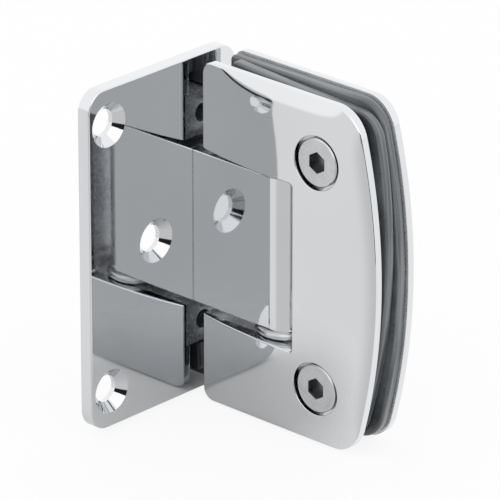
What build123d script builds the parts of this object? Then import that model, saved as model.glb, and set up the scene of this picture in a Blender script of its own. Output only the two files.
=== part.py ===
from build123d import *
from math import radians, tan
import os

# Glass door hinge that stands out from a wall and lets a glass door swing both ways.
# X runs out from the wall, Y along the wall and Z up. The origin is on the wall face,
# level with the middle of the wall plate and behind the pin, whose axis is vertical.
# All sizes are in millimetres.

# Wall plate
plate_height = 90.0
plate_thickness = 3.6
plate_reach_left = 36.4
plate_reach_right = 1.6
plate_corner_radius = 5.5
plate_edge_round = 0.4
wall_screw_hole = 7.0
wall_screw_countersink = 11.5
wall_screw_angle = 90.0
outer_hole_end_inset = 9.5
outer_hole_side_inset = 7.0
middle_hole_step = 16.2

# Knuckle block
block_height = 41.0
block_thickness = 14.0
plate_to_pin = 25.8
block_corner_radius = 2.5
block_edge_round = 0.4
block_seat_chamfer = 0.25

# Pin, bushes and washers
pin_diameter = 8.0
pin_grip_length = 10.5
pin_end_chamfer = 0.6
pin_flat_depth = 0.6
pin_flat_height = 22.0
bush_wall = 1.0
bush_length = 8.5
washer_diameter = 16.4
running_clearance = 0.04
bore_relief = 0.3
washer_bore_clearance = 0.15
washer_face_gap = 0.1

# Screws that hold the block to the plate, driven from the back of the plate
block_screw_diameter = 5.0
block_screw_head = 9.4
block_screw_angle = 90.0
block_screw_length = 16.0
block_screw_end_inset = 5.5
block_screw_sink = 0.2
block_screw_tip_chamfer = 0.6
block_socket_flats = 3.0
block_socket_depth = 2.1

# Self-centring gear inside the block
plunger_spacing = 12.0
chamber_diameter = 7.0
plunger_length = 6.4
plunger_slot_width = 1.2
plunger_slot_depth = 1.0
plunger_to_pin = 0.15
adjuster_length = 4.5
adjuster_socket_depth = 2.7
adjuster_socket_flats = 3.0
adjuster_setback = 0.8
spring_wire = 1.0
spring_coils = 5
spring_side_clearance = 0.35
sliding_clearance = 0.05
key_hole_diameter = 4.0

# Glass leaf, which is two clamps with gaskets between them
leaf_height = 91.0
leaf_width = 57.9
leaf_to_plate = 3.4
glass_gap = 9.6
clamp_rim = 2.2
clamp_crown = 2.6
crown_power_wall_side = 2.4
crown_power_free_side = 4.5
crown_power_upright = 9.0
crown_columns = 28
crown_rows = 44
crown_overrun = 0.6
crown_tolerance = 0.003
end_bow_radius = 150.0
wall_end_corner_radius = 3.2
free_end_corner_radius = 9.0
notch_above_block = 1.3
notch_below_block = 2.3
notch_past_pin = 10.0
notch_corner_radius = 0.8

# Knuckles that grip the pin and the web that joins them, solid with the back clamp
knuckle_height = 11.5
knuckle_past_pin = 11.0
knuckle_cover = 2.0
web_thickness = 3.0
web_overlap = 1.2
knuckle_pocket_gap = 0.2

# Clamp screws, their bosses and sleeves
clamp_screw_past_notch = 7.7
clamp_screw_from_pin = 17.7
clamp_screw_thread = 6.0
clamp_screw_head = 12.6
clamp_head_height = 2.4
clamp_socket_flats = 5.0
clamp_socket_depth = 2.2
clamp_head_chamfer = 0.3
clamp_screw_past_rim = 0.3
head_recess_diameter = 14.0
head_recess_depth = 3.0
shank_clearance = 0.2
screw_end_gap = 0.8
boss_diameter = 9.0
boss_height = 5.5
sleeve_wall = 1.0
sleeve_clearance = 0.1

# Gaskets
gasket_thickness = 3.0
gasket_inset = 0.5
front_gasket_inset = 2.9
gasket_from_wall_end = 0.5
gasket_wall_corner_radius = 1.5
gasket_part_gap = 0.4
middle_gasket_tilt = 3.0
middle_gasket_play = 2.4
middle_gasket_shift = 0.2

# Set screws that lock the pin in its knuckles
set_screw_diameter = 5.0
set_screw_length = 8.0
set_socket_flats = 2.5
set_socket_depth = 2.5
set_screw_tip_chamfer = 0.5

# How far a cut runs past the face it opens
cut_overrun = 1.0

# Places that follow from the sizes above
pin_radius = pin_diameter / 2
pin_x = plate_thickness + plate_to_pin
block_half = block_thickness / 2
block_top = block_height / 2
block_screw_z = block_top - block_screw_end_inset
block_end = pin_x + block_half
plate_left = -block_half - plate_reach_left
plate_right = block_half + plate_reach_right
outer_hole_y = plate_left + outer_hole_side_inset
outer_hole_z = plate_height / 2 - outer_hole_end_inset
middle_hole_y = outer_hole_y + middle_hole_step
notch_top = block_top + notch_above_block
notch_bottom = -block_top - notch_below_block
notch_wall = pin_x + notch_past_pin
leaf_left = plate_thickness + leaf_to_plate
leaf_right = leaf_left + leaf_width
leaf_middle = (notch_top + notch_bottom) / 2
leaf_top = leaf_middle + leaf_height / 2
leaf_bottom = leaf_middle - leaf_height / 2
inner_face = glass_gap / 2
crown_face = inner_face + clamp_rim + clamp_crown
clamp_screw_x = pin_x + clamp_screw_from_pin
clamp_screw_heights = (notch_top + clamp_screw_past_notch, notch_bottom - clamp_screw_past_notch)
knuckle_front = -(pin_radius + knuckle_cover)
knuckle_middles = (notch_top + knuckle_height / 2, notch_bottom - knuckle_height / 2)
set_screw_tip = pin_x - pin_radius + pin_flat_depth

os.makedirs("parts", exist_ok=True)


def save(piece, label):
    """Name a finished piece and write it as its own STEP file."""
    piece.label = label
    export_step(piece, f"parts/{label}.step")


def pin_plane(height):
    """A level plane at this height, centred on the pin."""
    return Plane(origin=(pin_x, 0, height), z_dir=(0, 0, 1))


def outward_plane(x, y, z):
    """A plane square to X, for what is turned or bored along X."""
    return Plane(origin=(x, y, z), x_dir=(0, 1, 0), z_dir=(1, 0, 0))


# Wall plate: rounded plate with three countersunk holes to the left of the block

with BuildPart() as wall_plate:
    with BuildSketch(Plane.YZ):
        with Locations(((plate_left + plate_right) / 2, 0)):
            RectangleRounded(plate_right - plate_left, plate_height, plate_corner_radius)
    extrude(amount=plate_thickness)
    fillet(wall_plate.faces().sort_by(Axis.X)[-1].edges(), radius=plate_edge_round)
    with Locations(
        outward_plane(plate_thickness, outer_hole_y, outer_hole_z),
        outward_plane(plate_thickness, outer_hole_y, -outer_hole_z),
        outward_plane(plate_thickness, middle_hole_y, 0),
    ):
        CounterSinkHole(
            wall_screw_hole / 2, wall_screw_countersink / 2, plate_thickness, wall_screw_angle
        )
    with Locations(
        *[Plane(origin=(0, 0, side * block_screw_z), z_dir=(-1, 0, 0)) for side in (1, -1)]
    ):
        CounterSinkHole(
            block_screw_diameter / 2 + shank_clearance,
            block_screw_head / 2 + shank_clearance + block_screw_sink,
            plate_thickness,
            block_screw_angle,
        )
    with Locations(
        *[outward_plane(plate_thickness, 0, side * plunger_spacing / 2) for side in (1, -1)]
    ):
        Hole(key_hole_diameter / 2, plate_thickness)
save(wall_plate.part, "wall_plate")


# Knuckle block: half-round at its outer end, bored for the pin and for two spring chambers

with BuildPart() as hinge_block:
    with BuildSketch(Plane.XY.offset(-block_top)):
        with BuildLine():
            Polyline(
                (pin_x, -block_half),
                (plate_thickness, -block_half),
                (plate_thickness, block_half),
                (pin_x, block_half),
            )
            ThreePointArc((pin_x, block_half), (block_end, 0), (pin_x, -block_half))
        make_face()
    extrude(amount=block_height)
    with BuildSketch(Plane.XZ.offset(-block_half)) as side_view:
        with Locations(((plate_thickness + block_end) / 2, 0)):
            Rectangle(block_end - plate_thickness, block_height)
        fillet(side_view.vertices().group_by(Axis.X)[-1], radius=block_corner_radius)
    extrude(amount=block_thickness, mode=Mode.INTERSECT)
    with BuildSketch(Plane.YZ.offset(plate_thickness)):
        RectangleRounded(block_thickness, block_height, block_edge_round)
    extrude(amount=block_end - plate_thickness, mode=Mode.INTERSECT)
    chamfer(hinge_block.faces().sort_by(Axis.X)[0].edges(), length=block_seat_chamfer)
    with BuildSketch(pin_plane(-block_top)):
        Circle(pin_radius + bore_relief)
    extrude(amount=block_height, mode=Mode.SUBTRACT)
    for start in (block_top - bush_length, -block_top):
        with BuildSketch(pin_plane(start)):
            Circle(pin_radius + bush_wall)
        extrude(amount=bush_length, mode=Mode.SUBTRACT)
    for side in (1, -1):
        with BuildSketch(outward_plane(plate_thickness, 0, side * plunger_spacing / 2)):
            Circle(chamber_diameter / 2)
        extrude(amount=plate_to_pin, mode=Mode.SUBTRACT)
        with BuildSketch(outward_plane(plate_thickness, 0, side * block_screw_z)):
            Circle(block_screw_diameter / 2)
        extrude(amount=block_screw_length - plate_thickness + screw_end_gap, mode=Mode.SUBTRACT)
save(hinge_block.part, "hinge_block")


# Countersunk socket screws that pull the block onto the plate

def block_screw(height):
    """One countersunk screw, driven out along X from the back of the plate."""
    head_x = block_screw_sink
    cone_length = (block_screw_head - block_screw_diameter) / 2 / tan(radians(block_screw_angle / 2))
    with BuildPart() as screw:
        with BuildSketch(Plane.XZ):
            with BuildLine():
                Polyline(
                    (head_x, 0),
                    (head_x, block_screw_head / 2),
                    (head_x + cone_length, block_screw_diameter / 2),
                    (block_screw_length - block_screw_tip_chamfer, block_screw_diameter / 2),
                    (block_screw_length, block_screw_diameter / 2 - block_screw_tip_chamfer),
                    (block_screw_length, 0),
                    close=True,
                )
            make_face()
        revolve(axis=Axis.X)
        with BuildSketch(outward_plane(head_x, 0, 0)):
            RegularPolygon(block_socket_flats / 2, 6, major_radius=False)
        extrude(amount=block_socket_depth, mode=Mode.SUBTRACT)
    return Pos(0, 0, height) * screw.part


save(block_screw(block_screw_z), "upper_block_screw")
save(block_screw(-block_screw_z), "lower_block_screw")


# Bushes pressed into the two ends of the block, and the washers that part it from the leaf

def pin_ring(bottom, height, outer_radius, inner_radius):
    """A plain ring round the pin."""
    with BuildPart() as ring:
        with BuildSketch(pin_plane(bottom)):
            Circle(outer_radius)
            Circle(inner_radius, mode=Mode.SUBTRACT)
        extrude(amount=height)
    return ring.part


bush_outer = pin_radius + bush_wall
bush_inner = pin_radius + running_clearance
save(pin_ring(block_top - bush_length, bush_length, bush_outer, bush_inner), "upper_bush")
save(pin_ring(-block_top, bush_length, bush_outer, bush_inner), "lower_bush")

washer_inner = pin_radius + washer_bore_clearance
upper_washer_height = notch_above_block - washer_face_gap
lower_washer_height = notch_below_block - washer_face_gap
save(pin_ring(block_top, upper_washer_height, washer_diameter / 2, washer_inner), "upper_washer")
save(
    pin_ring(-block_top - lower_washer_height, lower_washer_height, washer_diameter / 2, washer_inner),
    "lower_washer",
)


# Pivot pin: turned steel with flats for the plungers and a seat for each set screw

pin_top = notch_top + pin_grip_length
pin_bottom = notch_bottom - pin_grip_length

with BuildPart() as pivot_pin:
    with BuildSketch(pin_plane(pin_bottom)):
        Circle(pin_radius)
    extrude(amount=pin_top - pin_bottom)
    chamfer(pivot_pin.edges().filter_by(GeomType.CIRCLE), length=pin_end_chamfer)
    flat_face_x = pin_radius - pin_flat_depth
    for side in (1, -1):
        with BuildSketch(Plane.XY.offset(-pin_flat_height / 2)):
            with Locations((pin_x + side * (flat_face_x + pin_radius / 2), 0)):
                Rectangle(pin_radius, pin_diameter)
        extrude(amount=pin_flat_height, mode=Mode.SUBTRACT)
    for middle in knuckle_middles:
        with BuildSketch(Plane.XY.offset(middle - set_screw_diameter / 2)):
            with Locations((set_screw_tip - pin_radius / 2, 0)):
                Rectangle(pin_radius, pin_diameter)
        extrude(amount=set_screw_diameter, mode=Mode.SUBTRACT)
save(pivot_pin.part, "pivot_pin")


# Plungers that press on the pin, their springs, and the screws that set the pressure

plunger_tip = pin_x - pin_radius - plunger_to_pin
plunger_back = plunger_tip - plunger_length
adjuster_start = plate_thickness + adjuster_setback
spring_start = adjuster_start + adjuster_length
spring_length = plunger_back - spring_start


def plunger(height):
    """A round plunger with a cross slot in the face that meets the pin."""
    with BuildPart() as piece:
        with BuildSketch(outward_plane(plunger_back, 0, height)):
            Circle(chamber_diameter / 2 - sliding_clearance)
        extrude(amount=plunger_length)
        with BuildSketch(outward_plane(plunger_tip - plunger_slot_depth, 0, height)):
            Rectangle(chamber_diameter, plunger_slot_width)
        extrude(amount=plunger_slot_depth, mode=Mode.SUBTRACT)
    return piece.part


def spring(height):
    """A wound compression spring that fills the room between adjuster and plunger."""
    pitch = (spring_length - spring_wire) / spring_coils
    coil_radius = chamber_diameter / 2 - spring_side_clearance - spring_wire / 2
    start_x = spring_start + spring_wire / 2
    with BuildPart() as piece:
        with BuildLine() as coil:
            Helix(
                pitch=pitch,
                height=spring_length - spring_wire,
                radius=coil_radius,
                center=(start_x, 0, height),
                direction=(1, 0, 0),
            )
        with BuildSketch(Plane(origin=coil.line @ 0, z_dir=coil.line % 0)):
            Circle(spring_wire / 2)
        sweep(is_frenet=True)
    return piece.part


def adjuster(height):
    """A socket screw that backs up the spring."""
    with BuildPart() as piece:
        with BuildSketch(outward_plane(adjuster_start, 0, height)):
            Circle(chamber_diameter / 2)
            RegularPolygon(adjuster_socket_flats / 2, 6, major_radius=False, mode=Mode.SUBTRACT)
        extrude(amount=adjuster_socket_depth)
        with BuildSketch(outward_plane(adjuster_start + adjuster_socket_depth, 0, height)):
            Circle(chamber_diameter / 2)
        extrude(amount=adjuster_length - adjuster_socket_depth)
    return piece.part


for place, height in (("upper", plunger_spacing / 2), ("lower", -plunger_spacing / 2)):
    save(plunger(height), f"{place}_plunger")
    save(spring(height), f"{place}_spring")
    save(adjuster(height), f"{place}_adjuster")


# Outline of the leaf: straight wall end, bowed free end, rounded corners, notch for the block

def free_end_x(height):
    """Where the bowed free end of the leaf lies at this height."""
    rise = height - leaf_middle
    return leaf_right - end_bow_radius + (end_bow_radius**2 - rise**2) ** 0.5


def leaf_outline(inset=0.0, notch_inset=0.0, from_wall_end=0.0, wall_corner=wall_end_corner_radius):
    """The face of the leaf, drawn in from its edges, its notch and its wall end."""
    left = leaf_left + inset + from_wall_end
    top = leaf_top - inset
    bottom = leaf_bottom + inset
    top_corner_x = free_end_x(leaf_top) - inset
    with BuildSketch(Plane.XZ, mode=Mode.PRIVATE) as outline:
        with BuildLine():
            Polyline((top_corner_x, top), (left, top), (left, bottom), (top_corner_x, bottom))
            ThreePointArc(
                (top_corner_x, bottom), (leaf_right - inset, leaf_middle), (top_corner_x, top)
            )
        make_face()
        fillet(outline.vertices().group_by(Axis.X)[0], radius=wall_corner)
        fillet(outline.vertices().group_by(Axis.X)[-1], radius=free_end_corner_radius - inset)
        notch_right = notch_wall + notch_inset
        notch_high = notch_top + notch_inset
        notch_low = notch_bottom - notch_inset
        with Locations(((left + notch_right) / 2 - inset, (notch_high + notch_low) / 2)):
            Rectangle(notch_right - left + 2 * inset, notch_high - notch_low, mode=Mode.SUBTRACT)
        notch_corners = outline.vertices().filter_by_position(Axis.Y, notch_low, notch_high)
        fillet(notch_corners, radius=notch_corner_radius)
    return outline.sketch


def crown_rise(x, z):
    """How far the pillowed face stands out beyond the rim at one place."""
    across = (2 * x - leaf_left - free_end_x(z)) / (free_end_x(z) - leaf_left)
    upright = 2 * (z - leaf_middle) / leaf_height
    power = crown_power_wall_side if across < 0 else crown_power_free_side
    return clamp_crown * (1 - abs(across) ** power) * (1 - abs(upright) ** crown_power_upright)


def crown_surface():
    """The pillowed face of the front clamp, carried a little past its outline."""
    lines = []
    for row in range(crown_rows + 1):
        z = leaf_bottom - crown_overrun + (leaf_height + 2 * crown_overrun) * row / crown_rows
        wall_side = leaf_left - crown_overrun
        free_side = free_end_x(z) + crown_overrun
        line = []
        for column in range(crown_columns + 1):
            x = wall_side + (free_side - wall_side) * column / crown_columns
            line.append(Vector(x, -(inner_face + clamp_rim + crown_rise(x, z)), z))
        lines.append(line)
    return Face.make_surface_from_array_of_points(lines, tol=crown_tolerance)


def knuckle_block(room=0.0):
    """Both knuckles and the web beyond the notch, grown by the room that is left round them."""
    right = pin_x + knuckle_past_pin + room
    with BuildPart() as blocks:
        with BuildSketch(Plane.XZ.offset(-inner_face)):
            for middle in knuckle_middles:
                with Locations(((leaf_left - room + right) / 2, middle)):
                    Rectangle(right - leaf_left + room, knuckle_height + 2 * room)
            with Locations((notch_wall + web_thickness / 2, (notch_top + notch_bottom) / 2)):
                Rectangle(web_thickness + 2 * room, notch_top - notch_bottom + 2 * (web_overlap + room))
        extrude(amount=inner_face - knuckle_front + room)
    return blocks.part


def screw_rods(radius, start, end):
    """A rod on the axis of each clamp screw, from one place along Y to another."""
    with BuildPart() as rods:
        with BuildSketch(Plane.XZ.offset(-start)):
            with Locations(*[(clamp_screw_x, height) for height in clamp_screw_heights]):
                Circle(radius)
        extrude(amount=start - end)
    return rods.part


# Clamps: pressed brass plates with a pillowed face inside a thin square rim

with BuildPart() as clamp_shell:
    extrude(Pos(0, -inner_face, 0) * leaf_outline(), amount=clamp_rim + clamp_crown + cut_overrun)
    extrude(crown_surface(), amount=clamp_rim + 2 * clamp_crown, dir=(0, -1, 0), mode=Mode.SUBTRACT)

thread_radius = clamp_screw_thread / 2
recess_floor = -(crown_face - head_recess_depth)

with BuildPart() as front_clamp:
    add(clamp_shell.part)
    add(screw_rods(thread_radius + shank_clearance, 0, -crown_face), mode=Mode.SUBTRACT)
    add(screw_rods(head_recess_diameter / 2, recess_floor, -crown_face - cut_overrun), mode=Mode.SUBTRACT)
    add(knuckle_block(knuckle_pocket_gap), mode=Mode.SUBTRACT)
save(front_clamp.part, "front_clamp")

screw_end = inner_face + clamp_rim + clamp_screw_past_rim
boss_end = inner_face - boss_height

with BuildPart() as back_clamp:
    add(mirror(clamp_shell.part, about=Plane.XZ))
    add(knuckle_block())
    add(screw_rods(boss_diameter / 2, inner_face, boss_end))
    add(screw_rods(thread_radius, screw_end + screw_end_gap, boss_end), mode=Mode.SUBTRACT)
    with BuildSketch(pin_plane(pin_bottom)):
        Circle(pin_radius)
    extrude(amount=pin_top - pin_bottom, mode=Mode.SUBTRACT)
    for middle in knuckle_middles:
        with BuildSketch(outward_plane(leaf_left, 0, middle)):
            Circle(set_screw_diameter / 2)
        extrude(amount=pin_x - leaf_left, mode=Mode.SUBTRACT)
save(back_clamp.part, "back_clamp")


# Gaskets: three soft sheets that fill the room for the glass, the middle one lying askew

sleeve_radius = boss_diameter / 2 + sleeve_clearance + sleeve_wall


def gasket(front_face, inset, room):
    """One sheet, with openings round the knuckles and the screw sleeves."""
    with BuildPart() as sheet:
        outline = leaf_outline(inset, inset, gasket_from_wall_end, gasket_wall_corner_radius)
        extrude(Pos(0, front_face, 0) * outline, amount=-gasket_thickness)
        add(knuckle_block(room), mode=Mode.SUBTRACT)
        add(screw_rods(sleeve_radius + room, inner_face, -inner_face), mode=Mode.SUBTRACT)
    return sheet.part


front_gasket = gasket(-inner_face, front_gasket_inset, gasket_part_gap)
back_gasket = gasket(inner_face - gasket_thickness, gasket_inset, gasket_part_gap)
middle_face = middle_gasket_shift - gasket_thickness / 2
straight_gasket = gasket(middle_face, gasket_inset + middle_gasket_play / 2, middle_gasket_play)
tilt_centre = Pos((leaf_left + leaf_right) / 2, 0, leaf_middle)
middle_gasket = tilt_centre * Rot(0, middle_gasket_tilt, 0) * tilt_centre.inverse() * straight_gasket
save(front_gasket, "front_gasket")
save(middle_gasket, "middle_gasket")
save(back_gasket, "back_gasket")


# Clamp screws with low heads, and the sleeves that keep the glass off their bosses

def clamp_screw(height):
    """One low-head socket screw, driven from the front along Y."""
    head_front = recess_floor - clamp_head_height
    with BuildPart() as screw:
        with BuildSketch(Plane.XZ.offset(-recess_floor)):
            with Locations((clamp_screw_x, height)):
                Circle(clamp_screw_head / 2)
        extrude(amount=clamp_head_height)
        chamfer(screw.edges().sort_by(Axis.Y)[0], length=clamp_head_chamfer)
        with BuildSketch(Plane.XZ.offset(-recess_floor)):
            with Locations((clamp_screw_x, height)):
                Circle(thread_radius)
        extrude(amount=recess_floor - screw_end)
        with BuildSketch(Plane.XZ.offset(-head_front - clamp_socket_depth)):
            with Locations((clamp_screw_x, height)):
                RegularPolygon(clamp_socket_flats / 2, 6, major_radius=False, rotation=30)
        extrude(amount=clamp_socket_depth, mode=Mode.SUBTRACT)
    return screw.part


def screw_sleeve(height):
    """A soft tube round the boss, between the two clamps."""
    with BuildPart() as sleeve:
        with BuildSketch(Plane.XZ.offset(-inner_face)):
            with Locations((clamp_screw_x, height)):
                Circle(sleeve_radius)
                Circle(sleeve_radius - sleeve_wall, mode=Mode.SUBTRACT)
        extrude(amount=glass_gap)
    return sleeve.part


for place, height in zip(("upper", "lower"), clamp_screw_heights):
    save(clamp_screw(height), f"{place}_clamp_screw")
    save(screw_sleeve(height), f"{place}_screw_sleeve")


# Set screws that press on the seats in the pin, reached from the wall end of the leaf

def set_screw(height):
    """A grub screw along X with its hexagon socket towards the wall."""
    with BuildPart() as screw:
        with BuildSketch(outward_plane(set_screw_tip - set_screw_length, 0, height)):
            Circle(set_screw_diameter / 2)
        extrude(amount=set_screw_length)
        chamfer(screw.edges().filter_by(GeomType.CIRCLE).sort_by(Axis.X)[-1], length=set_screw_tip_chamfer)
        with BuildSketch(outward_plane(set_screw_tip - set_screw_length, 0, height)):
            RegularPolygon(set_socket_flats / 2, 6, major_radius=False)
        extrude(amount=set_socket_depth, mode=Mode.SUBTRACT)
    return screw.part


for place, height in zip(("upper", "lower"), knuckle_middles):
    save(set_screw(height), f"{place}_set_screw")
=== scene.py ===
from math import asin, cos, pi, radians, sin, tan

import bmesh
import bpy
from mathutils import Matrix, Vector, geometry, kdtree, noise


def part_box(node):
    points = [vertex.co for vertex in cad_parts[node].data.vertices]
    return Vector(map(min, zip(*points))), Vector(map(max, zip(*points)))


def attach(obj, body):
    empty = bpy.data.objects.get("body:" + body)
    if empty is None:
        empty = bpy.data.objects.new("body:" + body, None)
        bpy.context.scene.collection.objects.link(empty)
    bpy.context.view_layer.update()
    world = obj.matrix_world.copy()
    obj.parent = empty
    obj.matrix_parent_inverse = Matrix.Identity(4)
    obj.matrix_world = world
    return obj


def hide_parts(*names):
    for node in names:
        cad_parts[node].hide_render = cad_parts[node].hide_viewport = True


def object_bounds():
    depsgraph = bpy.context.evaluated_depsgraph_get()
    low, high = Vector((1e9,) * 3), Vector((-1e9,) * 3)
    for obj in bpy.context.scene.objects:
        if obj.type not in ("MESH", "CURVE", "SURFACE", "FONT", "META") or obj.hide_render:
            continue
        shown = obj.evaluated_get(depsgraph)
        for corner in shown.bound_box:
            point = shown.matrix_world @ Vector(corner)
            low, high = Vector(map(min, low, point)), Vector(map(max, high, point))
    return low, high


# Glass door hinge in polished chrome, shown closed: a wall plate with its knuckle block,
# and a leaf of two domed clamps that grips the edge of a glass door.
# X runs out from the wall, Y along the wall and Z up, in metres.

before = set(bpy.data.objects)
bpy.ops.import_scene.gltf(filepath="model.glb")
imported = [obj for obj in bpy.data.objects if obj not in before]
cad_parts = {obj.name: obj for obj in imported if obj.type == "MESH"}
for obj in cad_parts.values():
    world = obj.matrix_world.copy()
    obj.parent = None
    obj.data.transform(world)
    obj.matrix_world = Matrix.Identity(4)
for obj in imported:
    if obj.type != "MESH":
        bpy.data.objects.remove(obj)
cad_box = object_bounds()


# Surroundings
# The hinge stands on its lower edges on a wide pale table inside a white tent. The table
# takes the shadow. Metal mirrors the tent, whose panels differ in brightness, with gaps between.

tent_white = 1.0
tent_panels = (
    # azimuth, half width, side softness, lowest, highest, edge softness, brightness
    (0.0, 180.0, 1.0, 4.0, 90.0, 4.0, 1.27),
    (45.0, 55.0, 12.0, -90.0, 0.0, 2.0, 1.18),
    (-50.0, 38.0, 18.0, -60.0, 0.0, 2.0, 0.78),
    (-30.0, 45.0, 6.0, 18.0, 65.0, 2.0, 1.6),
    (-15.0, 10.0, 1.0, -18.0, 18.0, 0.6, 0.02),
    (-34.0, 10.0, 1.0, 1.0, 18.0, 0.6, 0.02),
    (-47.0, 8.0, 16.0, -0.5, 1.2, 0.8, 0.05),
)

scene = bpy.context.scene
scene.view_settings.view_transform = "Standard"

tent = bpy.data.worlds.new("white_tent")
tent.use_nodes = True
scene.world = tent
nodes, links = tent.node_tree.nodes, tent.node_tree.links
nodes.clear()


def give(socket, value):
    """Link a varying value to a socket, or set the socket to a plain one."""
    if isinstance(value, bpy.types.NodeSocket):
        links.new(value, socket)
    else:
        socket.default_value = value


def ramp(value, low, high, from_value=0.0, to_value=1.0):
    """A smooth step of a value that varies over the tent or over a surface."""
    step = nodes.new("ShaderNodeMapRange")
    step.interpolation_type = "SMOOTHSTEP"
    step.inputs["From Min"].default_value = low
    step.inputs["From Max"].default_value = high
    step.inputs["To Min"].default_value = from_value
    step.inputs["To Max"].default_value = to_value
    links.new(value, step.inputs["Value"])
    return step.outputs["Result"]


def combine(operation, *values):
    """One sum, product or the like of values, each of which may be a plain number."""
    result = nodes.new("ShaderNodeMath")
    result.operation = operation
    for socket, value in zip(result.inputs, values):
        give(socket, value)
    return result.outputs["Value"]


def blended(kind, mask, first, second):
    """A number or a colour that goes from the first to the second as the mask rises."""
    mix = nodes.new("ShaderNodeMix")
    mix.data_type = kind
    links.new(mask, mix.inputs["Factor"])
    give(mix.inputs["A"], first)
    give(mix.inputs["B"], second)
    return mix.outputs["Result"]


direction = nodes.new("ShaderNodeSeparateXYZ")
links.new(nodes.new("ShaderNodeTexCoord").outputs["Generated"], direction.inputs["Vector"])
height = combine("ARCSINE", direction.outputs["Z"])
azimuth = combine("ARCTAN2", direction.outputs["Y"], direction.outputs["X"])

brightness = tent_white
for middle, half_width, side_soft, low, high, edge_soft, tone in tent_panels:
    away = combine("ABSOLUTE", combine("WRAP", combine("SUBTRACT", azimuth, radians(middle)), pi, -pi))
    sides = ramp(away, radians(half_width), radians(half_width + side_soft), 1.0, 0.0)
    above_low = ramp(height, radians(low - edge_soft), radians(low))
    below_high = ramp(height, radians(high), radians(high + edge_soft), 1.0, 0.0)
    mask = combine("MULTIPLY", sides, combine("MULTIPLY", above_low, below_high))
    brightness = blended("FLOAT", mask, brightness, tone)

# The camera itself sees the tent as plain white
seen_by = nodes.new("ShaderNodeLightPath")
strength = blended("FLOAT", seen_by.outputs["Is Camera Ray"], brightness, tent_white)
tent_light = nodes.new("ShaderNodeBackground")
tent_light.inputs["Color"].default_value = (1.0, 1.0, 1.0, 1.0)
links.new(strength, tent_light.inputs["Strength"])
tent_output = nodes.new("ShaderNodeOutputWorld")
links.new(tent_light.outputs["Background"], tent_output.inputs["Surface"])

table_size = 8.0
table_below = 0.0003
half = table_size / 2
table_height = cad_box[0][2] - table_below
table_mesh = bpy.data.meshes.new("table_top")
table_mesh.from_pydata(
    [(x, y, table_height) for x, y in ((-half, -half), (half, -half), (half, half), (-half, half))],
    [],
    [(0, 1, 2, 3)],
)
table = bpy.data.objects.new("table_top", table_mesh)
scene.collection.objects.link(table)

table_colour = (0.72, 0.72, 0.72, 1.0)
table_lift = 0.88
table_paint = bpy.data.materials.new("pale_table")
table_paint.use_nodes = True
nodes, links = table_paint.node_tree.nodes, table_paint.node_tree.links
nodes.clear()
seen_by = nodes.new("ShaderNodeLightPath")
matt = nodes.new("ShaderNodeBsdfDiffuse")
matt.inputs["Color"].default_value = table_colour
white = nodes.new("ShaderNodeEmission")
white.inputs["Strength"].default_value = tent_white
lifted = nodes.new("ShaderNodeMixShader")
links.new(combine("MULTIPLY", seen_by.outputs["Is Camera Ray"], table_lift), lifted.inputs["Fac"])
links.new(matt.outputs["BSDF"], lifted.inputs[1])
links.new(white.outputs["Emission"], lifted.inputs[2])

# Metal mirrors only the table in the corner between plate and leaf, and further out the tent
mirrored_middle = (0.012, -0.022)
mirrored_near = 0.02
mirrored_far = 0.055
near_clearness = 0.05
place = nodes.new("ShaderNodeSeparateXYZ")
links.new(nodes.new("ShaderNodeTexCoord").outputs["Object"], place.inputs["Vector"])
sides = [combine("SUBTRACT", place.outputs[axis], start) for axis, start in zip("XY", mirrored_middle)]
squares = [combine("MULTIPLY", length, length) for length in sides]
distance = combine("SQRT", combine("ADD", *squares))
clearness = ramp(distance, mirrored_near, mirrored_far, near_clearness, 1.0)
clear = nodes.new("ShaderNodeBsdfTransparent")
mirrored = nodes.new("ShaderNodeMixShader")
links.new(combine("MULTIPLY", seen_by.outputs["Is Glossy Ray"], clearness), mirrored.inputs["Fac"])
links.new(lifted.outputs["Shader"], mirrored.inputs[1])
links.new(clear.outputs["BSDF"], mirrored.inputs[2])
table_output = nodes.new("ShaderNodeOutputMaterial")
links.new(mirrored.outputs["Shader"], table_output.inputs["Surface"])
table_mesh.materials.append(table_paint)


# Camera
# A long lens, looking down on the hinge from in front of its free side.

view_azimuth = radians(43.18)
view_drop = radians(23.02)
view_distance = 1.39
aimed_at = Vector((0.0135, 0.0032, -0.0069))
lens_length = 400.7
sensor_width = 36.0

looking = Vector((-sin(view_azimuth) * cos(view_drop), cos(view_azimuth) * cos(view_drop), -sin(view_drop)))
camera = bpy.data.objects.new("camera", bpy.data.cameras.new("camera"))
camera.data.lens = lens_length
camera.data.sensor_width = sensor_width
camera.location = aimed_at - looking * view_distance
camera.rotation_euler = (pi / 2 - view_drop, 0.0, view_azimuth)
scene.collection.objects.link(camera)
scene.camera = camera


# Wall plate and knuckle block
# Brass, polished all over and plated with nickel and chromium. The block is half round at its
# outer end and is pulled onto the plate by two screws from behind.


def effect(name, inputs, outputs):
    """An empty node group with these named sockets, and its two ends."""
    tree = bpy.data.node_groups.new(name, "ShaderNodeTree")
    for label, kind, start in inputs:
        tree.interface.new_socket(label, in_out="INPUT", socket_type=kind).default_value = start
    for label in outputs:
        tree.interface.new_socket(label, in_out="OUTPUT", socket_type="NodeSocketFloat")
    return tree, tree.nodes.new("NodeGroupInput"), tree.nodes.new("NodeGroupOutput")


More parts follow.
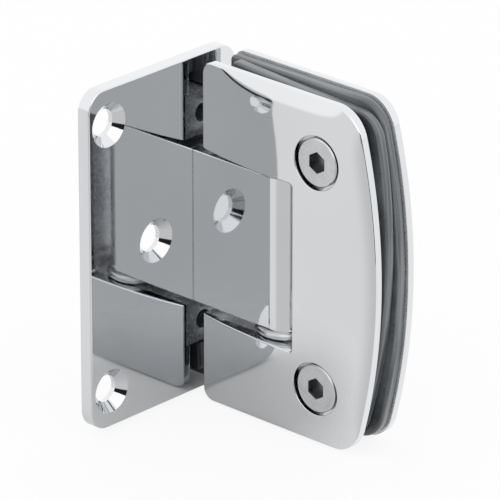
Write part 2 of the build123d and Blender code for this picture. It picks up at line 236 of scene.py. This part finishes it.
# Cloudy variation over a surface, as polishing, handling and moulding leave it
noise_range = (0.3, 0.7)
cloud_detail = 3.0
cloud_roughness = 0.55
clouds, clouds_in, clouds_out = effect(
    "clouds",
    [("Scale", "NodeSocketFloat", 50.0), ("Stretch", "NodeSocketVector", (1.0, 1.0, 1.0))],
    ["Mask"],
)
nodes, links = clouds.nodes, clouds.links
stretched = nodes.new("ShaderNodeVectorMath")
stretched.operation = "MULTIPLY"
links.new(nodes.new("ShaderNodeTexCoord").outputs["Object"], stretched.inputs[0])
links.new(clouds_in.outputs["Stretch"], stretched.inputs[1])
cloud = nodes.new("ShaderNodeTexNoise")
cloud.inputs["Detail"].default_value = cloud_detail
cloud.inputs["Roughness"].default_value = cloud_roughness
links.new(stretched.outputs["Vector"], cloud.inputs["Vector"])
links.new(clouds_in.outputs["Scale"], cloud.inputs["Scale"])
links.new(ramp(cloud.outputs["Fac"], *noise_range), clouds_out.inputs["Mask"])


def finish_of(name, metallic):
    """A new material and its shader; its nodes and links become the ones to add to."""
    global nodes, links
    finish = bpy.data.materials.new(name)
    finish.use_nodes = True
    nodes, links = finish.node_tree.nodes, finish.node_tree.links
    surface = nodes["Principled BSDF"]
    surface.inputs["Metallic"].default_value = metallic
    return finish, surface


def placed(tree, **values):
    """One effect placed in the material at hand, with its own values."""
    node = nodes.new("ShaderNodeGroup")
    node.node_tree = tree
    for label, value in values.items():
        node.inputs[label].default_value = value
    return node


def cloudy(scale, stretch=(1.0, 1.0, 1.0)):
    """The mask of clouds of one scale in the material at hand."""
    return placed(clouds, Scale=scale, Stretch=stretch).outputs["Mask"]


def coloured(surface, mask, first, second):
    """Vary the surface's colour between two by a mask."""
    links.new(blended("RGBA", mask, first, second), surface.inputs["Base Color"])


def roughened(surface, mask, roughness, mask_range=(0.0, 1.0)):
    """Vary the surface's roughness between two values by a mask."""
    links.new(ramp(mask, *mask_range, *roughness), surface.inputs["Roughness"])


def embossed(surface, height, depth, strength):
    """Let a height that varies over the surface tilt its shine."""
    bump = nodes.new("ShaderNodeBump")
    bump.inputs["Distance"].default_value = depth
    bump.inputs["Strength"].default_value = strength
    links.new(height, bump.inputs["Height"])
    links.new(bump.outputs["Normal"], surface.inputs["Normal"])


def dressed(names, finish):
    """Give a finish to pieces that keep the solids' own meshes."""
    for name in names:
        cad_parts[name].material_slots[0].material = finish


chrome_colour = (0.65, 0.663, 0.678, 1.0)
chrome_smear_colour = (0.632, 0.644, 0.657, 1.0)
chrome_smear_scale = 26.0
chrome_roughness = (0.022, 0.05)
chrome_wave_scale = 55.0
chrome_wave_depth = 0.000004
chrome_wave_strength = 0.35

chrome, surface = finish_of("polished_chrome_plate", 1.0)
smears = cloudy(chrome_smear_scale)
coloured(surface, smears, chrome_colour, chrome_smear_colour)
roughened(surface, smears, chrome_roughness)
embossed(surface, cloudy(chrome_wave_scale), chrome_wave_depth, chrome_wave_strength)
dressed(("wall_plate", "hinge_block"), chrome)


# Clamps
# Two brass castings, polished and chromed, with a domed face inside a thin rim; their inner faces
# are plated as cast. Both are notched round the knuckle block. The front one has recesses for two
# screw heads and a pocket for the knuckles, which are cast in one with the back one.

clamp_low, clamp_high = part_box("front_clamp")
leaf_left, leaf_right = clamp_low[0], clamp_high[0]
leaf_bottom, leaf_top = clamp_low[2], clamp_high[2]
leaf_middle = (leaf_bottom + leaf_top) / 2
inner_face = -clamp_high[1]
screw_centres = [
    tuple((low + high) / 2 for low, high in zip(*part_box(name)))[::2]
    for name in ("upper_clamp_screw", "lower_clamp_screw")
]

bush_low, bush_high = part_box("upper_bush")
pin_x = (bush_low[0] + bush_high[0]) / 2
washer_clearance = 0.0001
notch_past_pin = 0.01
notch_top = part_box("upper_washer")[1][2] + washer_clearance
notch_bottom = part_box("lower_washer")[0][2] - washer_clearance
notch_wall = pin_x + notch_past_pin

end_bow_radius = 0.15
wall_corner = 0.0032
free_corner = 0.009
notch_corner = 0.0008
line_step = 0.0012
arc_step = radians(6.0)
shortest_line = 0.000001


def arc(middle_x, middle_z, radius, start, finish):
    """Points round a corner, in the plane of the leaf."""
    count = max(2, round(abs(finish - start) / arc_step))
    angles = [start + (finish - start) * step / count for step in range(count + 1)]
    return [Vector((middle_x + radius * cos(angle), middle_z + radius * sin(angle))) for angle in angles]


def rounded(corners, radius):
    """A path through these corners, each but the first and last one rounded."""
    path = [Vector(corners[0])]
    for before, corner, after in zip(corners, corners[1:], corners[2:]):
        corner = Vector(corner)
        back = (Vector(before) - corner).normalized()
        ahead = (Vector(after) - corner).normalized()
        opening = back.angle(ahead) / 2
        middle = corner + (back + ahead).normalized() * radius / sin(opening)
        first = corner + back * radius / tan(opening) - middle
        last = corner + ahead * radius / tan(opening) - middle
        count = max(2, round((pi - 2 * opening) / arc_step))
        path += [middle + first.slerp(last, step / count) * radius for step in range(count + 1)]
    return path + [Vector(corners[-1])]


def leaf_outline(inset, from_wall_end, wall_round, notch):
    """The closed outline of the leaf, clockwise and drawn in from its edges, with this notch."""
    half_height = (leaf_top - leaf_bottom) / 2
    bow_middle = leaf_right - end_bow_radius
    lean = asin((half_height - free_corner) / (end_bow_radius - free_corner))
    corner_x = bow_middle + (end_bow_radius - free_corner) * cos(lean)
    wall_x = leaf_left + from_wall_end + inset + wall_round
    wall_z = inset + wall_round
    bow_count = round(2 * lean * end_bow_radius / line_step)
    bow_angles = [lean - 2 * lean * step / bow_count for step in range(1, bow_count)]
    bow_radius = end_bow_radius - inset
    path = arc(wall_x, leaf_top - wall_z, wall_round, pi, pi / 2)
    path += arc(corner_x, leaf_top - free_corner, free_corner - inset, pi / 2, lean)
    path += [
        Vector((bow_middle + bow_radius * cos(angle), leaf_middle + bow_radius * sin(angle)))
        for angle in bow_angles
    ]
    path += arc(corner_x, leaf_bottom + free_corner, free_corner - inset, -lean, -pi / 2)
    path += arc(wall_x, leaf_bottom + wall_z, wall_round, -pi / 2, -pi)
    path += notch
    loop = []
    for start, finish in zip(path, path[1:] + path[:1]):
        count = max(1, round((finish - start).length / line_step))
        if (finish - start).length > shortest_line:
            loop += [start.lerp(finish, step / count) for step in range(count)]
    return loop


def drawn_in(loop, amount):
    """A clockwise outline moved into the material by this much."""
    moved = []
    for before, point, after in zip(loop[-1:] + loop[:-1], loop, loop[1:] + loop[:1]):
        first = (point - before).normalized()
        second = (after - point).normalized()
        across = Vector((first.y, -first.x))
        lean = (across + Vector((second.y, -second.x))).normalized()
        moved.append(point + lean * amount / lean.dot(across))
    return moved


def rounding(radius):
    """Pairs of inset and drop that follow a rounded edge, from its side to its face."""
    angles = [pi / 2 * step / round_steps for step in range(round_steps + 1)]
    return [(radius * (1 - cos(angle)), radius * (1 - sin(angle))) for angle in angles]


round_steps = 5
clamp_rim = 0.0022
clamp_crown = 0.0026
crown_power_wall_side = 2.4
crown_power_free_side = 4.5
crown_power_upright = 9.0
crown_probe = 0.00002


def crown(x, z):
    """How far the domed face stands out beyond the rim."""
    free_end = leaf_right - end_bow_radius + (end_bow_radius**2 - (z - leaf_middle) ** 2) ** 0.5
    across = (2 * x - leaf_left - free_end) / (free_end - leaf_left)
    upright = 2 * (z - leaf_middle) / (leaf_top - leaf_bottom)
    power = crown_power_wall_side if across < 0 else crown_power_free_side
    along = max(0.0, 1 - abs(across) ** power)
    return clamp_crown * along * max(0.0, 1 - abs(upright) ** crown_power_upright)


def crown_direction(x, z, side):
    """The way that the domed face looks at one place."""
    slope_x = (crown(x + crown_probe, z) - crown(x - crown_probe, z)) / (2 * crown_probe)
    slope_z = (crown(x, z + crown_probe) - crown(x, z - crown_probe)) / (2 * crown_probe)
    return Vector((-slope_x, side, -slope_z)).normalized()


grid_step = 0.001
grid_margin = 0.0006
triangles_inside = 2
meeting_distance = 1e-8


def grid_points(plate, corners, height):
    """Evenly spaced points for a domed face, none too near its edges."""
    near = kdtree.KDTree(len(corners))
    for index, vert in enumerate(corners):
        near.insert((vert.co.x, 0.0, vert.co.z), index)
    near.balance()
    columns = round((leaf_right - leaf_left) / grid_step)
    rows = round((leaf_top - leaf_bottom) / grid_step)
    points = []
    for row in range(rows):
        for column in range(columns):
            x = leaf_left + (column + 0.5) * grid_step
            z = leaf_bottom + (row + 0.5) * grid_step
            if near.find((x, 0.0, z))[2] > grid_margin:
                points.append(plate.verts.new((x, height(x, z), z)))
    return points


def closed_slab(stacks, face_height=None):
    """A plate made of stacks of rings from its inner to its outer face, and closed at both."""
    plate = bmesh.new()
    built = [[[plate.verts.new(point) for point in ring] for ring in stack] for stack in stacks]
    for stack in built:
        for ring, following in zip(stack, stack[1:]):
            for index in range(len(ring)):
                plate.faces.new((ring[index - 1], ring[index], following[index], following[index - 1]))
    for end in (0, -1):
        corners, edges = [], []
        for rim in (stack[end] for stack in built):
            start = len(corners)
            edges += [(start + index, start + (index + 1) % len(rim)) for index in range(len(rim))]
            corners += rim
        if end and face_height:
            corners += grid_points(plate, corners, face_height)
        holes = []
        for stack in built[1:]:
            middle = sum((vert.co for vert in stack[end]), Vector()) / len(stack[end])
            holes.append((middle.xz, (stack[end][0].co - middle).xz.length))
        flat = [Vector((vert.co.x, vert.co.z)) for vert in corners]
        points, _, faces, sources, _, _ = geometry.delaunay_2d_cdt(
            flat, edges, [], triangles_inside, meeting_distance
        )
        for face in faces:
            middle = sum((points[index] for index in face), Vector((0.0, 0.0))) / len(face)
            if all((middle - place).length > radius for place, radius in holes):
                plate.faces.new([corners[sources[index][0]] for index in face])
    bmesh.ops.delete(plate, geom=[vert for vert in plate.verts if not vert.link_faces], context="VERTS")
    bmesh.ops.recalc_face_normals(plate, faces=plate.faces)
    return plate


def object_of(mesh, name):
    """A new object that holds a mesh just built."""
    data = bpy.data.meshes.new(name)
    mesh.to_mesh(data)
    mesh.free()
    piece = bpy.data.objects.new(name, data)
    scene.collection.objects.link(piece)
    return piece


outer_edge_round = 0.0004
inner_edge_round = 0.00015
recess_edge_round = 0.00015
recess_radius = 0.007
recess_depth = 0.003
shank_hole = 0.0032
circle_points = 96


def circle_at(x, y, z, radius):
    """Points round an axis that runs square to the leaf."""
    turns = [2 * pi * step / circle_points for step in range(circle_points)]
    return [(x + radius * cos(turn), y, z + radius * sin(turn)) for turn in turns]


def clamp_blank(name, side, recessed):
    """One clamp before its knuckles, pocket or threads are made."""

    def face_height(x, z):
        return side * (inner_face + clamp_rim + crown(x, z))

    notch_corners = [
        (leaf_left, notch_bottom),
        (notch_wall, notch_bottom),
        (notch_wall, notch_top),
        (leaf_left, notch_top),
    ]
    outline = leaf_outline(0.0, 0.0, wall_corner, rounded(notch_corners, notch_corner))
    outside = []
    for inset, rise in reversed(rounding(inner_edge_round)):
        outside.append([(p.x, side * (inner_face + rise), p.y) for p in drawn_in(outline, inset)])
    for inset, drop in rounding(outer_edge_round):
        outside.append([(p.x, face_height(p.x, p.y) - side * drop, p.y) for p in drawn_in(outline, inset)])
    stacks = [outside]
    floor = inner_face + clamp_rim + clamp_crown - recess_depth
    for x, z in screw_centres if recessed else ():
        hole = [
            circle_at(x, side * inner_face, z, shank_hole),
            circle_at(x, side * floor, z, shank_hole),
            circle_at(x, side * floor, z, recess_radius),
        ]
        for inset, drop in rounding(recess_edge_round):
            edge = circle_at(x, 0.0, z, recess_radius + inset)
            hole.append([(a, face_height(a, c) - side * drop, c) for a, _, c in edge])
        stacks.append(hole)
    return object_of(closed_slab(stacks, face_height), name)


def rod_between(start, finish, radius):
    """A round rod from one point to another."""
    start, finish = Vector(start), Vector(finish)
    rod = bmesh.new()
    bmesh.ops.create_cone(
        rod,
        cap_ends=True,
        segments=circle_points,
        radius1=radius,
        radius2=radius,
        depth=(finish - start).length,
    )
    turn = (finish - start).to_track_quat("Z", "Y").to_matrix().to_4x4()
    bmesh.ops.transform(rod, matrix=Matrix.Translation((start + finish) / 2) @ turn, verts=rod.verts)
    return rod


def shaped(piece, mesh, operation):
    """Add a solid to a piece, or cut it away."""
    tool = object_of(mesh, piece.name + "_tool")
    change = piece.modifiers.new("shape", "BOOLEAN")
    change.operation = operation
    change.solver = "EXACT"
    change.object = tool
    seen = piece.evaluated_get(bpy.context.evaluated_depsgraph_get())
    result = bpy.data.meshes.new_from_object(seen)
    piece.modifiers.clear()
    piece.data = result
    bpy.data.objects.remove(tool)


knuckle_height = 0.0115
knuckle_past_pin = 0.011
knuckle_right = pin_x + knuckle_past_pin
knuckle_front = -0.006
knuckle_middles = (notch_top + knuckle_height / 2, notch_bottom - knuckle_height / 2)
web_thickness = 0.003
web_right = notch_wall + web_thickness
web_overlap = 0.0012


def knuckle_block(room, back):
    """Both knuckles and the web between them as one block, with this much room left round it."""
    left, front = leaf_left - room, knuckle_front - room
    near, far, inner = knuckle_right + room, web_right + room, notch_wall - room
    top = knuckle_middles[0] + knuckle_height / 2 + room
    bottom = knuckle_middles[1] - knuckle_height / 2 - room
    web_top, web_bottom = notch_top + web_overlap + room, notch_bottom - web_overlap - room
    corners = [
        (left, bottom),
        (near, bottom),
        (near, web_bottom),
        (far, web_bottom),
        (far, web_top),
        (near, web_top),
        (near, top),
        (left, top),
        (left, notch_top - room),
        (inner, notch_top - room),
        (inner, notch_bottom + room),
        (left, notch_bottom + room),
    ]
    return closed_slab([[[(x, y, z) for x, z in corners] for y in (back, front)]])


pocket_gap = 0.0002
front_clamp = clamp_blank("front_clamp_plate", -1, True)
shaped(front_clamp, knuckle_block(pocket_gap, inner_face), "DIFFERENCE")

# The knuckles are drawn in by a hair, so that no face of theirs lies in one plane with the plate's
knuckle_inset = 0.00001
boss_radius = 0.0045
boss_height = 0.0055
thread_hole = 0.003
thread_depth = 0.0081
pin_hole = 0.004
pin_grip = 0.0105
set_screw_hole = 0.0025
cut_overrun = 0.001
inside_plate = inner_face + clamp_rim / 2
back_clamp = clamp_blank("back_clamp_with_knuckles", 1, False)
shaped(back_clamp, knuckle_block(-knuckle_inset, inside_plate), "UNION")
for x, z in screw_centres:
    boss_end = inner_face - boss_height
    shaped(back_clamp, rod_between((x, boss_end, z), (x, inside_plate, z), boss_radius), "UNION")
    hole = rod_between((x, boss_end - cut_overrun, z), (x, thread_depth, z), thread_hole)
    shaped(back_clamp, hole, "DIFFERENCE")
pin_low, pin_high = (pin_x, 0.0, notch_bottom - pin_grip), (pin_x, 0.0, notch_top + pin_grip)
shaped(back_clamp, rod_between(pin_low, pin_high, pin_hole), "DIFFERENCE")
for z in knuckle_middles:
    hole = rod_between((leaf_left - cut_overrun, 0.0, z), (pin_x, 0.0, z), set_screw_hole)
    shaped(back_clamp, hole, "DIFFERENCE")

inside_colour = (0.62, 0.63, 0.645, 1.0)
inside_dark_colour = (0.52, 0.53, 0.545, 1.0)
inside_metallic = 0.55
inside_patch_scale = 140.0
inside_grain_scale = 900.0
inside_roughness = (0.16, 0.3)
inside_grain_depth = 0.000005
inside_grain_strength = 0.3
inside_metal, surface = finish_of("plated_cast_faces", inside_metallic)
grain = cloudy(inside_grain_scale)
coloured(surface, cloudy(inside_patch_scale), inside_colour, inside_dark_colour)
roughened(surface, grain, inside_roughness)
embossed(surface, grain, inside_grain_depth, inside_grain_strength)

# The domed faces shine by their true curve and not by their flat triangles
same_point = 0.000002
sharp_angle = radians(35.0)
turned_inward = -0.5
crown_tolerance = 0.000002
crown_agreement = 0.9
for piece, side in ((front_clamp, -1), (back_clamp, 1)):
    mesh = piece.data
    cleaned = bmesh.new()
    cleaned.from_mesh(mesh)
    bmesh.ops.remove_doubles(cleaned, verts=cleaned.verts, dist=same_point)
    bmesh.ops.dissolve_degenerate(cleaned, edges=cleaned.edges, dist=same_point)
    cleaned.to_mesh(mesh)
    cleaned.free()
    mesh.materials.clear()
    mesh.materials.append(chrome)
    mesh.materials.append(inside_metal)
    mesh.polygons.foreach_set("use_smooth", [True] * len(mesh.polygons))
    mesh.set_sharp_from_angle(angle=sharp_angle)
    automatic = [Vector(corner.vector) for corner in mesh.corner_normals]
    directions = []
    for polygon in mesh.polygons:
        facing_in = polygon.normal.y * side < turned_inward
        polygon.material_index = int(facing_in or abs(polygon.center.y) < inner_face)
        for index in polygon.loop_indices:
            point = mesh.vertices[mesh.loops[index].vertex_index].co
            off_crown = side * point.y - inner_face - clamp_rim - crown(point.x, point.z)
            true_way = crown_direction(point.x, point.z, side)
            agrees = true_way.dot(polygon.normal) > crown_agreement
            on_crown = abs(off_crown) < crown_tolerance and agrees
            directions.append(true_way if on_crown else automatic[index])
    mesh.normals_split_custom_set(directions)
    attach(piece, "glass_side")
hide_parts("front_clamp")
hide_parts("back_clamp")


# Gaskets
# Three sheets of soft dark grey plastic, die cut and a little wavy at their edges, laid loose
# in the room for the glass. The middle one lies askew.

gasket_light_cut_and_sheen_colour = (0.165, 0.178, 0.188, 1.0)
gasket_dark_cut_and_sheen_colour = (0.04, 0.045, 0.05, 1.0)
gasket_cut_and_sheen_streak_scale = 1100.0
gasket_cut_and_sheen_streaks_along = (0.03, 1.0, 0.03)
gasket_patch_scale = 70.0
gasket_roughness = (0.16, 0.3)
gasket_grain_scale = 1600.0
gasket_grain_depth = 0.000006
gasket_grain_strength = 0.25
gasket_ior = 1.65
soft_sheet, surface = finish_of("grey_soft_sheet", 0.0)
# Streaks across the sheets' thickness: partly die-cut marks and partly a painted sheen, lighter bands
# standing in for the shine along their edges
coloured(surface, cloudy(gasket_cut_and_sheen_streak_scale, gasket_cut_and_sheen_streaks_along), gasket_light_cut_and_sheen_colour, gasket_dark_cut_and_sheen_colour)
roughened(surface, cloudy(gasket_patch_scale), gasket_roughness)
embossed(surface, cloudy(gasket_grain_scale), gasket_grain_depth, gasket_grain_strength)
surface.inputs["IOR"].default_value = gasket_ior

gaskets = (
    # node, inset, inset from the wall end, room round the knuckles, tilt
    ("front_gasket", 0.0029, 0.0005, 0.0004, 0.0),
    ("middle_gasket", 0.0017, 0.0005, 0.0024, 3.0),
    ("back_gasket", 0.0005, 0.0005, 0.0004, 0.0),
)
gasket_edge_round = 0.0008
gasket_corner = 0.00095
gasket_wall_corner = 0.0015
gasket_wave = 0.00016
gasket_wave_scale = 90.0
gasket_waves_apart = 40
gasket_waves_towards = Vector((leaf_right - 0.03, leaf_middle))
sleeve_outer = 0.0056
leaf_centre = Vector(((leaf_left + leaf_right) / 2, 0.0, leaf_middle))

for node, inset, from_wall_end, room, tilt in gaskets:
    wall_x = leaf_left + from_wall_end + inset
    high, low = notch_top + knuckle_height + room, notch_bottom - knuckle_height - room
    web_high, web_low = notch_top + web_overlap + room, notch_bottom - web_overlap - room
    near_x, far_x = knuckle_right + room, web_right + room
    notch_corners = [
        (wall_x, low),
        (near_x, low),
        (near_x, web_low),
        (far_x, web_low),
        (far_x, web_high),
        (near_x, web_high),
        (near_x, high),
        (wall_x, high),
    ]
    outline = leaf_outline(inset, from_wall_end, gasket_wall_corner, rounded(notch_corners, gasket_corner))
    lowest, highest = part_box(node)
    front, back = lowest[1], highest[1]
    edge_rounding = rounding(gasket_edge_round)
    stack = [(amount, front + depth) for amount, depth in reversed(edge_rounding)]
    stack += [(amount, back - depth) for amount, depth in edge_rounding]
    rings = []
    for amount, y in stack:
        ring = []
        for point, edge in zip(drawn_in(outline, amount), outline):
            wave = noise.noise(Vector((edge.x, inset * gasket_waves_apart, edge.y)) * gasket_wave_scale)
            inward = (gasket_waves_towards - edge).normalized()
            pull = inward * gasket_wave * (1 + wave) / 2
            ring.append((point.x + pull.x, y, point.y + pull.y))
        rings.append(ring)
    piece = object_of(closed_slab([rings]), node + "_sheet")
    for x, z in screw_centres:
        hole = rod_between((x, front - cut_overrun, z), (x, back + cut_overrun, z), sleeve_outer + room)
        shaped(piece, hole, "DIFFERENCE")
    turn = Matrix.Rotation(radians(tilt), 4, "Y")
    piece.data.transform(Matrix.Translation(leaf_centre) @ turn @ Matrix.Translation(-leaf_centre))
    piece.data.polygons.foreach_set("use_smooth", [True] * len(piece.data.polygons))
    piece.data.set_sharp_from_angle(angle=sharp_angle)
    even = piece.modifiers.new("even_shine", "WEIGHTED_NORMAL")
    even.keep_sharp = True
    piece.data.materials.append(soft_sheet)
    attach(piece, "glass_side")
    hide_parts(node)


# Washers
# Turned steel rings with a full round edge, loose on the pin between the block and the knuckles.

# Fine rings left by the lathe round an axis
turned, turned_in, turned_out = effect(
    "turning_marks",
    [
        ("Centre", "NodeSocketVector", (0.0, 0.0, 0.0)),
        ("Across", "NodeSocketVector", (1.0, 1.0, 0.0)),
        ("Spacing", "NodeSocketFloat", 0.0002),
    ],
    ["Height", "Radius"],
)
nodes, links = turned.nodes, turned.links
from_axis = nodes.new("ShaderNodeVectorMath")
from_axis.operation = "SUBTRACT"
links.new(nodes.new("ShaderNodeTexCoord").outputs["Object"], from_axis.inputs[0])
links.new(turned_in.outputs["Centre"], from_axis.inputs[1])
flattened = nodes.new("ShaderNodeVectorMath")
flattened.operation = "MULTIPLY"
links.new(from_axis.outputs["Vector"], flattened.inputs[0])
links.new(turned_in.outputs["Across"], flattened.inputs[1])
reach = nodes.new("ShaderNodeVectorMath")
reach.operation = "LENGTH"
links.new(flattened.outputs["Vector"], reach.inputs[0])
lathe_rings = nodes.new("ShaderNodeTexNoise")
lathe_rings.noise_dimensions = "1D"
lathe_rings.inputs["Scale"].default_value = 1.0
links.new(combine("DIVIDE", reach.outputs["Value"], turned_in.outputs["Spacing"]), lathe_rings.inputs["W"])
links.new(lathe_rings.outputs["Fac"], turned_out.inputs["Height"])
links.new(reach.outputs["Value"], turned_out.inputs["Radius"])

washer_colour = (0.5, 0.505, 0.515, 1.0)
washer_dull_colour = (0.4, 0.405, 0.415, 1.0)
washer_patch_scale = 160.0
washer_roughness = (0.16, 0.26)
washer_mark_depth = 0.00001
washer_mark_strength = 0.3
washer_steel, surface = finish_of("turned_washer_steel", 1.0)
marks = placed(turned, Centre=(pin_x, 0.0, 0.0)).outputs["Height"]
coloured(surface, cloudy(washer_patch_scale), washer_colour, washer_dull_colour)
roughened(surface, marks, washer_roughness, noise_range)
embossed(surface, marks, washer_mark_depth, washer_mark_strength)

washer_turns = 128
washer_arc_steps = 10
washer_bore_play = 0.00015
washer_bore_edge = 0.0002
for node in ("upper_washer", "lower_washer"):
    low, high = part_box(node)
    round_radius = (high[2] - low[2]) / 2
    outer = (high[0] - low[0]) / 2
    bore = pin_hole + washer_bore_play
    middle_z = (low[2] + high[2]) / 2
    profile = [(bore, low[2] + washer_bore_edge), (bore + washer_bore_edge, low[2])]
    profile += [
        (outer - round_radius + round_radius * sin(angle), middle_z - round_radius * cos(angle))
        for angle in (pi * step / washer_arc_steps for step in range(washer_arc_steps + 1))
    ]
    profile += [(bore + washer_bore_edge, high[2]), (bore, high[2] - washer_bore_edge)]
    ring = bmesh.new()
    turns = [2 * pi * step / washer_turns for step in range(washer_turns)]
    rows = [[ring.verts.new((pin_x + r * cos(t), r * sin(t), z)) for t in turns] for r, z in profile]
    for row, following in zip(rows, rows[1:] + rows[:1]):
        for index in range(washer_turns):
            ring.faces.new((row[index - 1], row[index], following[index], following[index - 1]))
    bmesh.ops.recalc_face_normals(ring, faces=ring.faces)
    piece = object_of(ring, node + "_ring")
    piece.data.polygons.foreach_set("use_smooth", [True] * len(piece.data.polygons))
    piece.data.set_sharp_from_angle(angle=sharp_angle)
    piece.data.materials.append(washer_steel)
    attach(piece, "wall_side")
    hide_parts(node)


# Clamp screws and block screws
# Low-head socket screws of satin stainless steel, and zinc-plated countersunk ones out of sight.
# The screws that set the spring pressure are zinc plated as well.

screw_colour = (0.6, 0.605, 0.615, 1.0)
screw_dull_colour = (0.54, 0.545, 0.555, 1.0)
screw_patch_scale = 300.0
screw_roughness = (0.24, 0.36)
screw_mark_spacing = 0.00012
screw_mark_depth = 0.00002
screw_mark_strength = 0.35
socket_shade_colour = (0.16, 0.16, 0.165, 1.0)
socket_reach = 0.003
socket_edge = 0.0001
socket_shade_below = 0.0006
head_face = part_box("upper_clamp_screw")[0][1]

for name, (x, z) in zip(("upper_clamp_screw", "lower_clamp_screw"), screw_centres):
    satin, surface = finish_of("satin_stainless_" + name[:5], 1.0)
    marks = placed(turned, Centre=(x, 0.0, z), Across=(1.0, 0.0, 1.0), Spacing=screw_mark_spacing)
    place = nodes.new("ShaderNodeSeparateXYZ")
    links.new(nodes.new("ShaderNodeTexCoord").outputs["Object"], place.inputs["Vector"])
    # Painted shade: inside the hex socket the colour turns near black from just below the head's face
    # inwards, standing in for the shade in the recess
    socket_shade_depth = ramp(place.outputs["Y"], head_face + socket_edge, head_face + socket_shade_below)
    in_socket = ramp(marks.outputs["Radius"], socket_reach, socket_reach + socket_edge, 1.0, 0.0)
    painted_socket_shade = combine("MULTIPLY", socket_shade_depth, in_socket)
    steel = blended("RGBA", cloudy(screw_patch_scale), screw_colour, screw_dull_colour)
    coloured(surface, painted_socket_shade, steel, socket_shade_colour)
    roughened(surface, marks.outputs["Height"], screw_roughness, noise_range)
    embossed(surface, marks.outputs["Height"], screw_mark_depth, screw_mark_strength)
    dressed((name,), satin)

zinc_colour = (0.52, 0.54, 0.57, 1.0)
zinc_yellowed_colour = (0.5, 0.5, 0.47, 1.0)
zinc_patch_scale = 220.0
zinc_roughness = (0.25, 0.4)
zinc_grain_scale = 1500.0
zinc_grain_depth = 0.00002
zinc_grain_strength = 0.3
zinc, surface = finish_of("zinc_plated_steel", 1.0)
patches = cloudy(zinc_patch_scale)
coloured(surface, patches, zinc_colour, zinc_yellowed_colour)
roughened(surface, patches, zinc_roughness)
embossed(surface, cloudy(zinc_grain_scale), zinc_grain_depth, zinc_grain_strength)
dressed(("upper_block_screw", "lower_block_screw", "upper_adjuster", "lower_adjuster"), zinc)


# Pin, plungers, springs, bushes, set screws and sleeves
# A ground stainless pin and plungers, springs of drawn wire, sintered bronze bushes, blackened
# set screws and milky soft sleeves that keep the glass off the screw bosses.

small_metals = (
    # finish, colour, second colour, roughness range, cloud scale, stretch, relief, nodes
    ("ground_stainless", (0.6, 0.61, 0.62, 1.0), (0.52, 0.53, 0.54, 1.0), (0.12, 0.22), 400.0,
     (0.2, 0.2, 6.0), 0.000006, ("pivot_pin",)),
    ("ground_plunger_steel", (0.58, 0.59, 0.6, 1.0), (0.5, 0.51, 0.52, 1.0), (0.14, 0.26), 400.0,
     (6.0, 0.2, 0.2), 0.000006, ("upper_plunger", "lower_plunger")),
    ("drawn_spring_wire", (0.4, 0.41, 0.43, 1.0), (0.27, 0.28, 0.3, 1.0), (0.25, 0.4), 700.0,
     (1.0, 1.0, 1.0), 0.00001, ("upper_spring", "lower_spring")),
    ("sintered_bronze", (0.62, 0.43, 0.24, 1.0), (0.45, 0.3, 0.16, 1.0), (0.35, 0.55), 1800.0,
     (1.0, 1.0, 1.0), 0.00003, ("upper_bush", "lower_bush")),
    ("blackened_steel", (0.05, 0.05, 0.055, 1.0), (0.1, 0.1, 0.105, 1.0), (0.3, 0.45), 900.0,
     (1.0, 1.0, 1.0), 0.00002, ("upper_set_screw", "lower_set_screw")),
)
small_metal_relief_strength = 0.4
for name, colour, second, roughness, scale, stretch, relief, held in small_metals:
    metal, surface = finish_of(name, 1.0)
    mask = cloudy(scale, stretch)
    coloured(surface, mask, colour, second)
    roughened(surface, mask, roughness)
    embossed(surface, mask, relief, small_metal_relief_strength)
    dressed(held, metal)

milky_colour = (0.8, 0.81, 0.82, 1.0)
milky_dull_colour = (0.72, 0.735, 0.75, 1.0)
milky_patch_scale = 240.0
milky_roughness = (0.35, 0.5)
milky_grain_depth = 0.00002
milky_grain_strength = 0.3
milky_scatter = 0.15
milky_scatter_depth = 0.001
milky, surface = finish_of("milky_soft_plastic", 0.0)
mask = cloudy(milky_patch_scale)
coloured(surface, mask, milky_colour, milky_dull_colour)
roughened(surface, mask, milky_roughness)
embossed(surface, mask, milky_grain_depth, milky_grain_strength)
surface.inputs["Subsurface Weight"].default_value = milky_scatter
surface.inputs["Subsurface Scale"].default_value = milky_scatter_depth
dressed(("upper_screw_sleeve", "lower_screw_sleeve"), milky)
